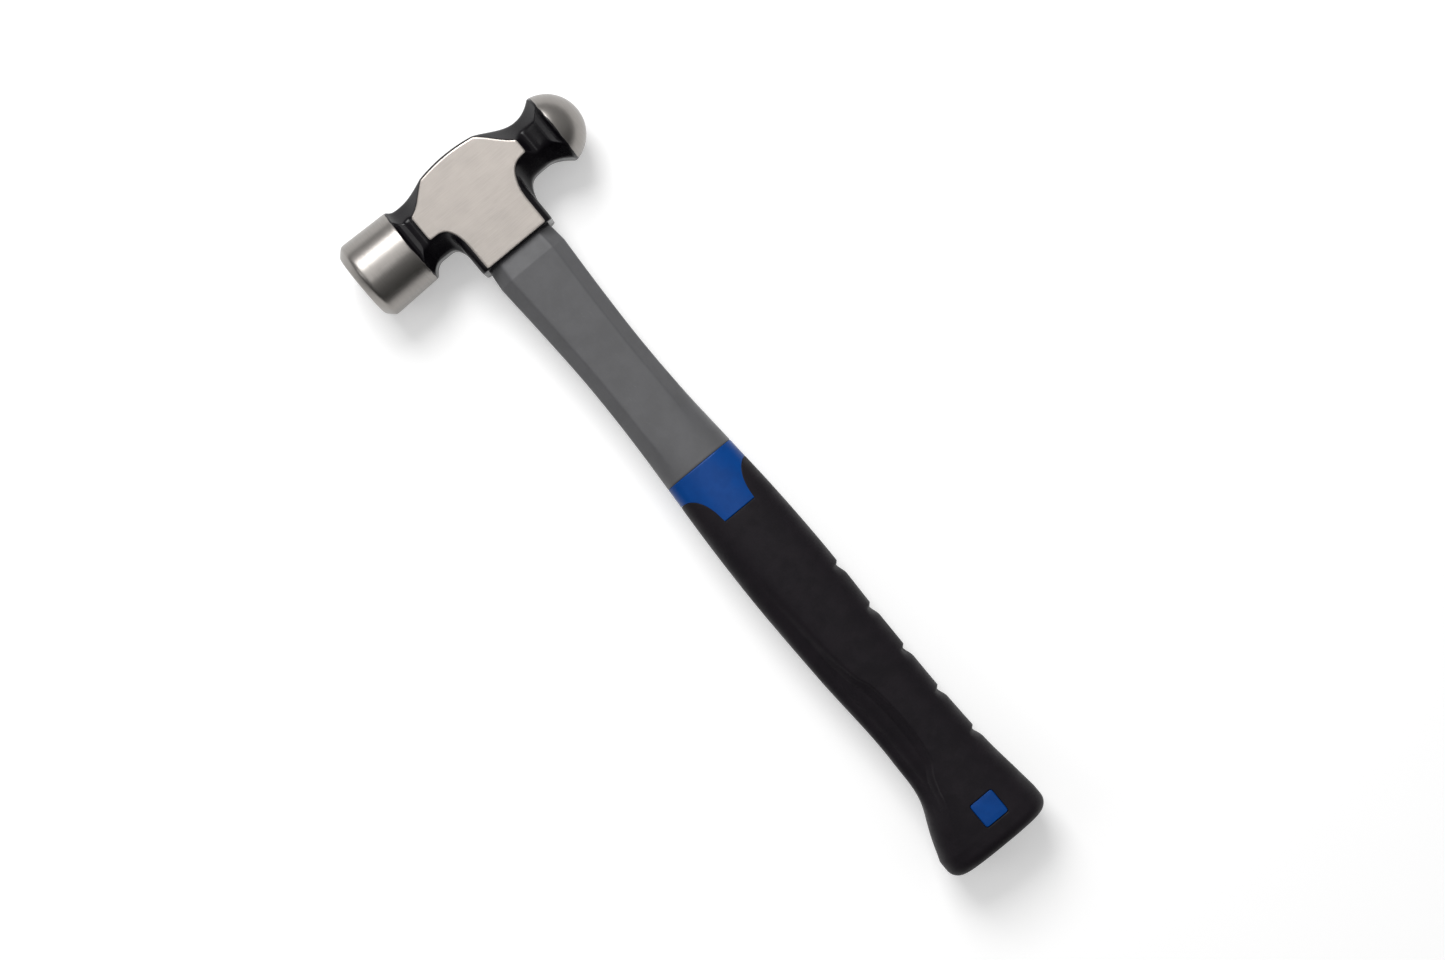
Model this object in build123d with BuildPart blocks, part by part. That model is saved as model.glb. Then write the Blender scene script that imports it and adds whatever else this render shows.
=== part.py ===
"""Ball peen hammer with a fibreglass handle: forged head, core, jacket and two-shot grip.

The hammer lies on its side. +X runs along the head from the flat face to the ball peen,
+Y runs up the handle to the head and +Z is the thickness. The origin is the bottom
centre of the box round the whole hammer, so the poll touches z = 0. Millimetres.
"""

import os
from math import cos, radians, sin, sqrt

from build123d import *

os.makedirs("parts", exist_ok=True)

# ---------------------------------------------------------------- driving dimensions

overall_length = 335.0        # crown of the head to the end of the butt
face_reach = 55.2             # handle axis to the flat striking face
peen_reach = 50.8             # handle axis to the tip of the ball

# head: poll, the round striking end
face_radius = 16.6            # poll radius at the face end
poll_back_radius = 15.9       # poll radius where the neck starts
poll_length = 24.2            # face to the back of the poll
face_bevel = 3.2              # bevel round the striking face

# head: ball peen
ball_radius = 15.1            # radius of the peen's sphere
ball_rim_offset = 2.8         # rim plane beyond the sphere's centre

# head: forged body
cheek_thickness = 23.6        # across the two flat cheeks
crown_height = 17.3           # head axis to the crown
crown_shoulder_drop = 1.3     # how far the crown falls away at its ends
crown_poll_end = 12.4         # handle axis to the crown's end on the poll side
crown_peen_end = 13.0         # handle axis to the crown's end on the peen side
poll_neck_top = 13.6          # head axis up to the poll neck
poll_neck_bottom = 11.8       # head axis down to the poll neck
poll_neck_side = 11.0         # mid-plane out to the poll neck
poll_neck_reach = 25.2        # handle axis to the narrowest part of the poll neck
peen_neck_top = 10.8          # head axis up to the peen neck
peen_neck_bottom = 9.7        # head axis down to the peen neck
peen_neck_side = 9.6          # mid-plane out to the peen neck
peen_neck_reach = 28.6        # handle axis to the narrowest part of the peen neck
cheek_poll_end = 23.6         # handle axis to the flat cheek's end on the poll side
cheek_peen_end = 24.6         # handle axis to the flat cheek's end on the peen side
skirt_width = 33.6            # skirt round the bottom of the eye, along the head
skirt_drop = 27.2             # head axis down to the skirt's lower edge
skirt_corner = 3.5            # rounding of the skirt's upright edges
skirt_root = 5.0              # neck down to where the poll's side of the skirt is upright
peen_root_extra = 1.0         # further down on the peen's side

rim_overlap = 0.3             # neck profiles over the rims, cut back by the round envelope
rim_blend = 3.0               # length over which the octagon fades into the round rims
poll_flare = 1.6              # slope of the hollow where it leaves the poll's rim
peen_flare = 0.9              # slope of the hollow where it leaves the ball's rim
crown_rise = 0.35             # slope where the hollow meets the crown
root_rise = 8.0               # slope where the hollow meets the skirt
cheek_rise = 0.5              # slope where the hollow meets the flat cheek
poll_neck_facet_top = 12.9    # head axis out to the slanting facets of the poll neck
poll_neck_facet_bottom = 11.6
peen_neck_facet_top = 10.4    # head axis out to the slanting facets of the peen neck
peen_neck_facet_bottom = 9.6
facet_crown_reach = 20.3      # head axis out to the slanting facets at the crown's ends
facet_crown_rise = 0.5
facet_root_reach = 19.0       # head axis out to the slanting facets beside the skirt
facet_root_rise = 3.0

# eye, bond and handle core
eye_length = 25.0             # eye along the head
eye_width = 16.2              # eye across the cheeks
core_width = 20.0             # fibreglass rod, wide way
core_thickness = 12.4         # fibreglass rod, thin way
core_corner = 4.5             # rounding of the rod's corners
core_top_recess = 0.4         # crown's shoulder down to the top of the rod
core_end_chamfer = 1.0
resin_top_recess = 0.8        # crown's shoulder down to the top of the resin
gasket_height = 4.0           # soft ring that dams the resin at the bottom of the eye
core_end_cover = 9.0          # grip beyond the lower end of the rod

# grip
collar_height = 8.2           # blue collar between the jacket and the soft grip
tab_drop = 14.6               # blue tab below the collar
tab_width = 14.2              # blue tab across
tab_shoulder = 9.0            # width of the curved shoulder beside the tab
overmould_wall = 2.0          # soft grip over the blue sleeve
window_side = 10.8            # square window near the butt
window_height = 14.9          # end of the butt up to the middle of the window
window_shift = 1.8            # middle of the window from the handle axis
window_recess = 0.5           # window face below the soft grip
notch_count = 5               # finger notches on the peen side
notch_pitch = 20.2
notch_top_height = 121.4      # end of the butt up to the first notch
notch_depth = 1.1
notch_height = 3.6            # long lower side of a notch, at the surface
notch_lip = 0.6               # short upper side of a notch

# handle outline: each station gives its place, the half width to the poll side, the half
# width to the peen side, the half thickness, the size of the slanting facets and the bulge
# of every side. A jacket station's place is its share of the way from the jacket's shoulder
# to the collar; a grip station's place is its height above the end of the butt.
grip_length = 183.7           # end of the butt up to the top of the collar
shoulder_height = 8.3         # sloping shoulder of the jacket below the skirt
jacket_step = 2.3             # skirt over the jacket at each edge
jacket_step_side = 2.9        # cheek over the jacket, front and back
jacket_stations = [
    (0.0, 15.3, 15.3, 10.0, 5.2, 0.05),
    (0.23, 14.15, 14.15, 9.7, 5.0, 0.05),
    (0.49, 13.3, 13.4, 9.5, 4.9, 0.05),
    (0.76, 13.7, 13.9, 9.9, 5.1, 0.12),
]
grip_stations = [
    (grip_length, 15.0, 15.3, 11.0, 5.8, 0.45),
    (159.7, 16.4, 16.7, 12.2, 6.4, 0.60),
    (133.7, 17.2, 17.4, 12.8, 6.8, 0.70),
    (91.7, 16.7, 16.8, 12.9, 6.8, 0.70),
    (49.7, 15.3, 17.1, 13.2, 6.8, 0.70),
    (31.7, 16.6, 18.0, 13.8, 7.0, 0.70),
    (17.7, 22.4, 19.6, 14.6, 7.2, 0.80),
    (8.7, 25.6, 20.6, 15.0, 7.4, 0.80),
]
butt_edge_radius = 5.0        # rounding round the end of the butt

# ---------------------------------------------------------------- derived places

axis_x = (face_reach - peen_reach) / 2
axis_z = face_radius
head_y = overall_length / 2 - crown_height
face_x = -face_reach
poll_back = face_x + poll_length
ball_centre = peen_reach - ball_radius
rim_x = ball_centre + ball_rim_offset
rim_radius = sqrt(ball_radius**2 - ball_rim_offset**2)
cheek_half = cheek_thickness / 2
skirt_half = skirt_width / 2
envelope_reach = 2 * crown_height

handle_end = overall_length - crown_height
core_top = crown_height - crown_shoulder_drop - core_top_recess
resin_top = crown_height - crown_shoulder_drop - resin_top_recess
shoulder_drop = skirt_drop + shoulder_height
collar_drop = handle_end - grip_length
collar_end = collar_drop + collar_height
window_drop = handle_end - window_height

head_centre = (axis_x, head_y, axis_z)
head_front = Plane(origin=head_centre, x_dir=(1, 0, 0), z_dir=(0, 0, 1))
head_axis = Axis(head_centre, (1, 0, 0))
head_top = Plane(origin=head_centre, x_dir=(1, 0, 0), z_dir=(0, -1, 0))
head_rising = Plane(origin=head_centre, x_dir=(1, 0, 0), z_dir=(0, -1, 1))
head_falling = Plane(origin=head_centre, x_dir=(1, 0, 0), z_dir=(0, 1, 1))


def across_handle(drop):
    """Plane square to the handle, a distance below the head axis; its y runs along +Z."""
    return Plane(origin=(axis_x, head_y - drop, axis_z), x_dir=(1, 0, 0), z_dir=(0, -1, 0))


# ---------------------------------------------------------------- head

crown_shoulder = crown_height - crown_shoulder_drop
poll_root_drop = poll_neck_bottom + skirt_root
peen_root_drop = peen_neck_bottom + skirt_root + peen_root_extra


def neck_curve(rim, neck, shoulder, flare, rise):
    """Hollow line: down from a rim, level at the neck, and up to the body's shoulder."""
    along = 1 if neck[0] > rim[0] else -1
    out = 1 if rim[1] > 0 else -1
    Spline(rim, neck, tangents=((along, -out * flare), (along, 0)))
    Spline(neck, shoulder, tangents=((along, 0), (along, out * rise)))


def poll_curve(neck_half, shoulder, rise, side=1):
    """Neck curve on the poll's side of the head, above (1) or below (-1) the axis."""
    rim = (poll_back, side * (poll_back_radius + rim_overlap))
    neck_curve(rim, (-poll_neck_reach, side * neck_half), shoulder, poll_flare, rise)


def peen_curve(neck_half, shoulder, rise, side=1):
    """Neck curve on the ball's side of the head, above (1) or below (-1) the axis."""
    rim = (rim_x, side * (rim_radius + rim_overlap))
    neck_curve(rim, (peen_neck_reach, side * neck_half), shoulder, peen_flare, rise)


def close_rims():
    """Straight ends of a profile, at the poll's rim and at the ball's rim."""
    poll_rim = poll_back_radius + rim_overlap
    ball_rim = rim_radius + rim_overlap
    Line((poll_back, -poll_rim), (poll_back, poll_rim))
    Line((rim_x, -ball_rim), (rim_x, ball_rim))


with BuildPart() as head:
    # seen from the front: necks, crown, and the turn down into the skirt
    with BuildSketch(head_front):
        with BuildLine():
            poll_curve(poll_neck_top, (-crown_poll_end, crown_shoulder), crown_rise)
            ThreePointArc(
                (-crown_poll_end, crown_shoulder),
                (0, crown_height),
                (crown_peen_end, crown_shoulder),
            )
            peen_curve(peen_neck_top, (crown_peen_end, crown_shoulder), crown_rise)
            close_rims()
            peen_curve(peen_neck_bottom, (skirt_half, -peen_root_drop), root_rise, -1)
            Polyline(
                (skirt_half, -peen_root_drop),
                (skirt_half, -skirt_drop),
                (-skirt_half, -skirt_drop),
                (-skirt_half, -poll_root_drop),
            )
            poll_curve(poll_neck_bottom, (-skirt_half, -poll_root_drop), root_rise, -1)
        make_face()
    extrude(amount=face_radius, both=True)

    # seen from the crown: flat cheeks that hollow into the necks
    with BuildSketch(head_top):
        with BuildLine():
            for side in (1, -1):
                poll_cheek_end = (-cheek_poll_end, side * cheek_half)
                peen_cheek_end = (cheek_peen_end, side * cheek_half)
                poll_curve(poll_neck_side, poll_cheek_end, cheek_rise, side)
                Line(poll_cheek_end, peen_cheek_end)
                peen_curve(peen_neck_side, peen_cheek_end, cheek_rise, side)
            close_rims()
        make_face()
    extrude(amount=overall_length, both=True, mode=Mode.INTERSECT)

    # the slanting facets above and below the cheeks, on both slants
    for slant in (head_rising, head_falling):
        with BuildSketch(slant):
            with BuildLine():
                upper_poll = (-crown_poll_end, facet_crown_reach)
                upper_peen = (crown_peen_end, facet_crown_reach)
                lower_poll = (-skirt_half + skirt_corner, -facet_root_reach)
                lower_peen = (skirt_half - skirt_corner, -facet_root_reach)
                poll_curve(poll_neck_facet_top, upper_poll, facet_crown_rise)
                Line(upper_poll, upper_peen)
                peen_curve(peen_neck_facet_top, upper_peen, facet_crown_rise)
                peen_curve(peen_neck_facet_bottom, lower_peen, facet_root_rise, -1)
                Line(lower_poll, lower_peen)
                poll_curve(poll_neck_facet_bottom, lower_poll, facet_root_rise, -1)
                close_rims()
            make_face()
        extrude(amount=overall_length, both=True, mode=Mode.INTERSECT)

    # round envelope that fades the octagon into the poll and the ball
    with BuildSketch(head_front):
        with BuildLine():
            Polyline(
                (poll_back, 0),
                (poll_back, poll_back_radius),
                (poll_back + rim_blend, poll_back_radius + rim_blend),
                (poll_back + rim_blend, envelope_reach),
                (rim_x - rim_blend, envelope_reach),
                (rim_x - rim_blend, rim_radius + rim_blend),
                (rim_x, rim_radius),
                (rim_x, 0),
                close=True,
            )
        make_face()
    revolve(axis=head_axis, mode=Mode.INTERSECT)

    # skirt round the bottom of the eye
    with BuildSketch(across_handle(skirt_drop)):
        RectangleRounded(skirt_width, cheek_thickness, skirt_corner)
    extrude(amount=-skirt_drop)

    # poll with its bevelled face
    with BuildSketch(head_front):
        with BuildLine():
            Polyline(
                (face_x, 0),
                (face_x, face_radius - face_bevel),
                (face_x + face_bevel, face_radius),
                (poll_back, poll_back_radius),
                (poll_back, 0),
                close=True,
            )
        make_face()
    revolve(axis=head_axis)

    # ball peen
    with BuildSketch(head_front):
        with BuildLine():
            Line((rim_x, 0), (rim_x, rim_radius))
            RadiusArc((rim_x, rim_radius), (peen_reach, 0), ball_radius)
            Line((peen_reach, 0), (rim_x, 0))
        make_face()
    revolve(axis=head_axis)

    # eye, right through from the skirt to the crown
    with BuildSketch(across_handle(skirt_drop)):
        SlotOverall(eye_length, eye_width)
    extrude(amount=-skirt_drop - 2 * crown_height, mode=Mode.SUBTRACT)

# ---------------------------------------------------------------- rod, gasket and resin

with BuildPart() as handle_core:
    with BuildSketch(across_handle(-core_top)):
        RectangleRounded(core_width, core_thickness, core_corner)
    extrude(amount=core_top + handle_end - core_end_cover)
    chamfer(handle_core.edges().group_by(Axis.Y)[-1], core_end_chamfer)

with BuildPart() as eye_gasket:
    with BuildSketch(across_handle(skirt_drop)):
        SlotOverall(eye_length, eye_width)
        RectangleRounded(core_width, core_thickness, core_corner, mode=Mode.SUBTRACT)
    extrude(amount=-gasket_height)

with BuildPart() as resin_bond:
    with BuildSketch(across_handle(skirt_drop - gasket_height)):
        SlotOverall(eye_length, eye_width)
        RectangleRounded(core_width, core_thickness, core_corner, mode=Mode.SUBTRACT)
    extrude(amount=-(skirt_drop - gasket_height + resin_top))

# ---------------------------------------------------------------- handle outline


def handle_section(drop, outline, inset=0.0):
    """Eight-sided outline across the handle, each side bowed out by the bulge."""
    poll_half, peen_half, thick_half, facet, bulge = outline
    left = poll_half - inset
    right = peen_half - inset
    front = thick_half - inset
    side = front - facet
    corners = [
        (right, side),
        (right - facet, front),
        (facet - left, front),
        (-left, side),
        (-left, -side),
        (facet - left, -front),
        (right - facet, -front),
        (right, -side),
    ]
    with BuildSketch(across_handle(drop)) as section:
        with BuildLine():
            for start, end in zip(corners, corners[1:] + corners[:1]):
                middle = (Vector(*start) + Vector(*end)) / 2
                outward = Vector(end[1] - start[1], start[0] - end[0]).normalized()
                if outward.dot(middle) < 0:
                    outward = -outward
                ThreePointArc(start, middle + outward * bulge, end)
        make_face()
    return section.sketch


def side_reach(height):
    """Half width of the grip on the peen side, between the two stations round a height."""
    for above, below in zip(grip_stations, grip_stations[1:]):
        if above[0] >= height >= below[0]:
            share = (above[0] - height) / (above[0] - below[0])
            return above[2] + share * (below[2] - above[2])
    return grip_stations[-1][2]


def jacket_section(station, inset=0.0):
    """Outline of the jacket at its share of the way down to the collar."""
    share, *outline = station
    drop = shoulder_drop + share * (collar_drop - shoulder_drop)
    return handle_section(drop, outline, inset)


def grip_section(station, inset=0.0):
    """Outline of the grip at its height above the end of the butt."""
    height, *outline = station
    return handle_section(handle_end - height, outline, inset)


def butt_sections(inset=0.0):
    """Outlines from the widest part of the butt, rounding in to its end face."""
    _, poll_half, peen_half, thick_half, facet, bulge = grip_stations[-1]
    sections = [grip_section(grip_stations[-1], inset)]
    for turn in (30, 60, 90):
        pull = inset + butt_edge_radius * (1 - cos(radians(turn)))
        drop = handle_end - inset - butt_edge_radius * (1 - sin(radians(turn)))
        outline = (poll_half, peen_half, thick_half, facet, bulge)
        sections.append(handle_section(drop, outline, pull))
    return sections


jacket_top_outline = (
    skirt_half - jacket_step,
    skirt_half - jacket_step,
    cheek_half - jacket_step_side,
    *jacket_stations[0][4:],
)
jacket_sections = [jacket_section(station) for station in jacket_stations]
grip_sections = [grip_section(station) for station in grip_stations]
sleeve_sections = [jacket_section(station, overmould_wall) for station in jacket_stations]
sleeve_sections += [grip_section(station, overmould_wall) for station in grip_stations]
window_sections = [grip_section(station, window_recess) for station in grip_stations[-4:]]

with BuildPart() as handle_blank:
    loft([handle_section(skirt_drop, jacket_top_outline), jacket_sections[0]], ruled=True)
    loft(jacket_sections + grip_sections)
    loft(butt_sections())

# lofted from the jacket down, so that it runs evenly under the grip, then cut at the collar
with BuildPart() as sleeve_blank:
    loft(sleeve_sections)
    split(bisect_by=across_handle(collar_drop), keep=Keep.TOP)
    loft(butt_sections(overmould_wall))

# ---------------------------------------------------------------- jacket

with BuildPart() as handle_jacket:
    add(handle_blank.part)
    split(bisect_by=across_handle(collar_drop), keep=Keep.BOTTOM)
    add(handle_core.part, mode=Mode.SUBTRACT)

# ---------------------------------------------------------------- grip

with BuildPart() as tab_column:
    with BuildSketch(head_front):
        with BuildLine():
            corner = (tab_width / 2 + tab_shoulder, -collar_end - tab_drop)
            Line((0, -collar_end), (corner[0], -collar_end))
            EllipticalCenterArc(corner, tab_shoulder, tab_drop, 90, arc_size=90)
            Line((tab_width / 2, corner[1]), (0, corner[1]))
            mirror(about=Plane.YZ)
        make_face()
    extrude(amount=overall_length, both=True)

with BuildPart() as tabs:
    add(handle_blank.part)
    add(tab_column.part, mode=Mode.INTERSECT)

with BuildPart() as windows:
    loft(window_sections)
    with BuildSketch(head_front):
        with Locations((window_shift, -window_drop)):
            Rectangle(window_side, window_side)
    extrude(amount=overall_length, both=True, mode=Mode.INTERSECT)

with BuildPart() as grip_sleeve:
    add(handle_blank.part)
    split(bisect_by=across_handle(collar_drop), keep=Keep.TOP)
    split(bisect_by=across_handle(collar_end), keep=Keep.BOTTOM)
    add(sleeve_blank.part)
    add(tabs.part)
    add(windows.part)
    add(handle_core.part, mode=Mode.SUBTRACT)

with BuildPart() as grip_overmould:
    add(handle_blank.part)
    split(bisect_by=across_handle(collar_end), keep=Keep.TOP)
    add(sleeve_blank.part, mode=Mode.SUBTRACT)
    add(tabs.part, mode=Mode.SUBTRACT)
    with BuildSketch(head_front):
        with Locations((window_shift, -window_drop)):
            Rectangle(window_side, window_side)
    extrude(amount=overall_length, both=True, mode=Mode.SUBTRACT)
    # finger notches: a steep upper side and a long lower side
    with BuildSketch(head_front):
        for notch in range(notch_count):
            height = notch_top_height - notch * notch_pitch
            with Locations((side_reach(height), height - handle_end)):
                Polygon(
                    (notch_depth, notch_lip),
                    (-notch_depth, 0),
                    (notch_depth, -2 * notch_height),
                    align=None,
                )
    extrude(amount=overall_length, both=True, mode=Mode.SUBTRACT)

# ---------------------------------------------------------------- files

pieces = {
    "head": head,
    "handle_core": handle_core,
    "handle_jacket": handle_jacket,
    "eye_gasket": eye_gasket,
    "resin_bond": resin_bond,
    "grip_sleeve": grip_sleeve,
    "grip_overmould": grip_overmould,
}
for name, piece in pieces.items():
    piece.part.label = name
    export_step(piece.part, f"parts/{name}.step")
    print(name, round(piece.part.volume / 1000, 2), "cm3", len(piece.part.solids()), "solid")
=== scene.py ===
import math

import bmesh
import bpy
import numpy as np
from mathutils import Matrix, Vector


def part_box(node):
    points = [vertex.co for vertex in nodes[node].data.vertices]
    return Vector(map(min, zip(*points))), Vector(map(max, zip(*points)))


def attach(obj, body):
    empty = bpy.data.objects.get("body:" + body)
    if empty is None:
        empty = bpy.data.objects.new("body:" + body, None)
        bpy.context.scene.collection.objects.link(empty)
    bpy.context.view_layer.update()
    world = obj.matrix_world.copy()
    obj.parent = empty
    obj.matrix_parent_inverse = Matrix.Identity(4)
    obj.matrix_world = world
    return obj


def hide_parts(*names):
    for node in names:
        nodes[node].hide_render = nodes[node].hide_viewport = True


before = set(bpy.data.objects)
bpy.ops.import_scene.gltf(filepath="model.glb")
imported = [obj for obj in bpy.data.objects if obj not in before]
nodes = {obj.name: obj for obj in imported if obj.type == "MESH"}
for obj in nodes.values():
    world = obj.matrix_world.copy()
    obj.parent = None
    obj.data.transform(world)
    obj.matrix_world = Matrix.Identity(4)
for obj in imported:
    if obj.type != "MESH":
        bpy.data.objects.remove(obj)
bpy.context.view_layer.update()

# Places that every piece shares, in metres. They come from the frame itself.
headLow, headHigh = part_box("head")
coreLow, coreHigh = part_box("handle_core")
axisX = (coreLow.x + coreHigh.x) / 2        # the handle's centre line
axisZ = (coreLow.z + coreHigh.z) / 2
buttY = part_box("grip_overmould")[0].y
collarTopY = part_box("handle_jacket")[0].y
skirtY = headLow.y
crownHeight = 0.0173                        # from the head's axis to the top of the crown
headY = headHigh.y - crownHeight            # the head's own axis


def smoothStep(value, low, high):
    # 0 below low, 1 above high, and the cubic 3t^2 - 2t^3 between them
    t = np.clip((value - low) / (high - low), 0.0, 1.0)
    return t * t * (3.0 - 2.0 * t)


def smoothThrough(at, places, heights):
    # cubic through every (place, height), its slope there a weighted mean of those on each side
    places = np.asarray(places, float)
    heights = np.asarray(heights, float)
    slopes = np.gradient(heights, places)
    i = np.clip(np.searchsorted(places, at) - 1, 0, len(places) - 2)
    width = places[i + 1] - places[i]
    t = np.clip((at - places[i]) / width, 0.0, 1.0)
    rise = heights[i + 1] - heights[i]
    start = slopes[i] * width
    end = slopes[i + 1] * width
    return heights[i] + start * t + (3 * rise - 2 * start - end) * t**2 + (start + end - 2 * rise) * t**3


def softMax(values, blend):
    # largest of several fields, with the corner between two of them rounded over the blend
    top = np.max(values, axis=0)
    return top + blend * np.log(sum(np.exp((value - top) / blend) for value in values))


def softMin(values, blend):
    return -softMax([-value for value in values], blend)


def linkMesh(name, mesh):
    piece = bpy.data.objects.new(name, mesh)
    bpy.context.scene.collection.objects.link(piece)
    return piece


def smoothPiece(name, points, faces):
    mesh = bpy.data.meshes.new(name)
    mesh.from_pydata(points.tolist(), [], faces)
    mesh.validate()
    fixNormals(mesh)
    mesh.shade_smooth()
    return linkMesh(name, mesh)


def ringWalls(index):
    # a square between every two neighbours on a ring and the two beside them on the next ring
    following = np.roll(index, -1, axis=1)
    squares = np.stack([index[:-1], following[:-1], following[1:], index[1:]], axis=-1)
    return squares.reshape(-1, 4).tolist()


def closedRings(name, rings):
    # rings is rows x columns x 3: each row is a closed ring, and each end is drawn to its own centre
    rows, columns, _ = rings.shape
    points = np.vstack([rings.reshape(-1, 3), rings[0].mean(axis=0), rings[-1].mean(axis=0)])
    index = np.arange(rows * columns).reshape(rows, columns)
    following = np.roll(index, -1, axis=1)
    first = np.stack([following[0], index[0], np.full(columns, rows * columns)], axis=-1)
    last = np.stack([index[-1], following[-1], np.full(columns, rows * columns + 1)], axis=-1)
    return smoothPiece(name, points, ringWalls(index) + first.tolist() + last.tolist())


def closedTube(name, rings):
    # rows x columns x 3 again, but the last ring joins the first, as on a pipe with a wall
    rows, columns, _ = rings.shape
    index = np.arange(rows * columns).reshape(rows, columns)
    return smoothPiece(name, rings.reshape(-1, 3), ringWalls(np.vstack([index, index[:1]])))


def fixNormals(mesh):
    # points in one place become one, and every face turns outward
    work = bmesh.new()
    work.from_mesh(mesh)
    bmesh.ops.remove_doubles(work, verts=work.verts, dist=1e-7)
    bmesh.ops.recalc_face_normals(work, faces=work.faces)
    work.to_mesh(mesh)
    work.free()


def applyModifiers(piece):
    shown = piece.evaluated_get(bpy.context.evaluated_depsgraph_get())
    piece.data = bpy.data.meshes.new_from_object(shown)
    piece.modifiers.clear()


print("frame loaded:", sorted(nodes))


# millimetres from the head's centre: x along the head, y up from its axis, z out of the cheek
headShape = {
    "faceX": (headLow.x - axisX) * 1000,
    "tipX": (headHigh.x - axisX) * 1000,
    "faceRadius": (headHigh.z - axisZ) * 1000,
    "faceBevel": 3.2,
    "pollLength": 24.2,
    "pollBackRadius": 15.9,
    "ballRadius": 15.1,
    "rimOffset": 2.8,           # ball's centre to its rim
    "cheekHalf": 11.8,          # half the thickness across the cheeks
    "cheekEnds": (-23.6, 24.6), # where the hollows reach the cheeks
    "cheekSpare": 0.4,          # stock past the cheeks, before they are cut flat
    "crown": crownHeight * 1000,
    "crownDrop": 1.3,           # how far the crown falls to its ends
    "crownEnds": (-12.4, 13.0),
    "pollNeckX": -25.2,
    "peenNeckX": 28.6,
    "pollFlare": 1.6,           # how quickly each hollow leaves its rim
    "peenFlare": 0.9,
    # each side of the body: size at the poll's neck and at the ball's neck, and how steeply
    # the hollows climb to the shoulders
    "sides": {
        "upper": (13.6, 10.8, 0.35),
        "lower": (11.8, 9.7, 8.0),
        "front": (11.2, 9.3, 0.9),
        "upperSlant": (12.9, 10.4, 0.5),
        "lowerSlant": (11.6, 9.6, 3.0),
    },
    "upperSlantSize": 19.05,    # between the shoulders, out from the head's axis
    "upperSlantCrown": 0.8,
    "lowerSlantSize": 19.0,
    "skirtHalf": 16.8,
    "skirtTop": 17.5,           # where the body's lower side meets the skirt
    "skirtDrop": (headY - skirtY) * 1000,
    "skirtCorner": 3.5,
    "eyeLength": 25.0,
    "eyeWidth": 16.2,
    "edgeBlend": 0.32,          # rounding of the forged edges
    "skirtBlend": 0.34,         # rounding round the skirt's lower edge
    "jointBlend": 0.55,         # rounding where the skirt joins the body
    "rimBlend": 0.3,            # rounding where the poll and the ball join it
    "pollBlend": 0.28,          # rounding of the poll's own edges
    "crispBlend": 0.22,         # rounding of the ball's rim and the eye's mouths
    "cell": 0.46,               # size of the mesh's squares
}
pollBack = headShape["faceX"] + headShape["pollLength"]
rimX = headShape["tipX"] - headShape["ballRadius"] + headShape["rimOffset"]
rimRadius = math.sqrt(headShape["ballRadius"] ** 2 - headShape["rimOffset"] ** 2)


def hollowCurve(x, rim, neck, shoulder, flare, rise):
    # from the rim a power curve falls to the neck, then a cubic or a power curve climbs to the shoulder
    fromRim = np.clip((x - rim[0]) / (neck[0] - rim[0]), 0.0, 1.0)
    rimPower = max(1.5, flare * abs(neck[0] - rim[0]) / (rim[1] - neck[1]))
    rimSide = neck[1] + (rim[1] - neck[1]) * (1 - fromRim) ** rimPower
    climb = np.clip((x - neck[0]) / (shoulder[0] - neck[0]), 0.0, 1.0)
    steep = rise * abs(shoulder[0] - neck[0]) / (shoulder[1] - neck[1])
    if steep <= 3:
        share = (3 - steep) * climb**2 + (steep - 2) * climb**3
    else:
        share = climb ** min(steep, 6.0)
    return np.where(climb > 0, neck[1] + (shoulder[1] - neck[1]) * share, rimSide)


def bodySide(x, shape, name, shoulders, size, crown=0.0):
    # one side of the forged body along the head: hollow, shoulder, hollow, and on it between
    # the shoulders a parabola as high as the crown
    pollNeck, peenNeck, climb = shape["sides"][name]
    pollRim = (pollBack, shape["pollBackRadius"] - 0.2)
    peenRim = (rimX, rimRadius)
    start, end = shoulders
    onPoll = hollowCurve(x, pollRim, (shape["pollNeckX"], pollNeck), (start, size), shape["pollFlare"], climb)
    onPeen = hollowCurve(x, peenRim, (shape["peenNeckX"], peenNeck), (end, size), shape["peenFlare"], climb)
    middle = (start + end) / 2
    dome = np.clip((x - middle) / ((end - start) / 2), -1.0, 1.0)
    return np.where(x < middle, onPoll, onPeen) + crown * (1 - dome**2)


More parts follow.
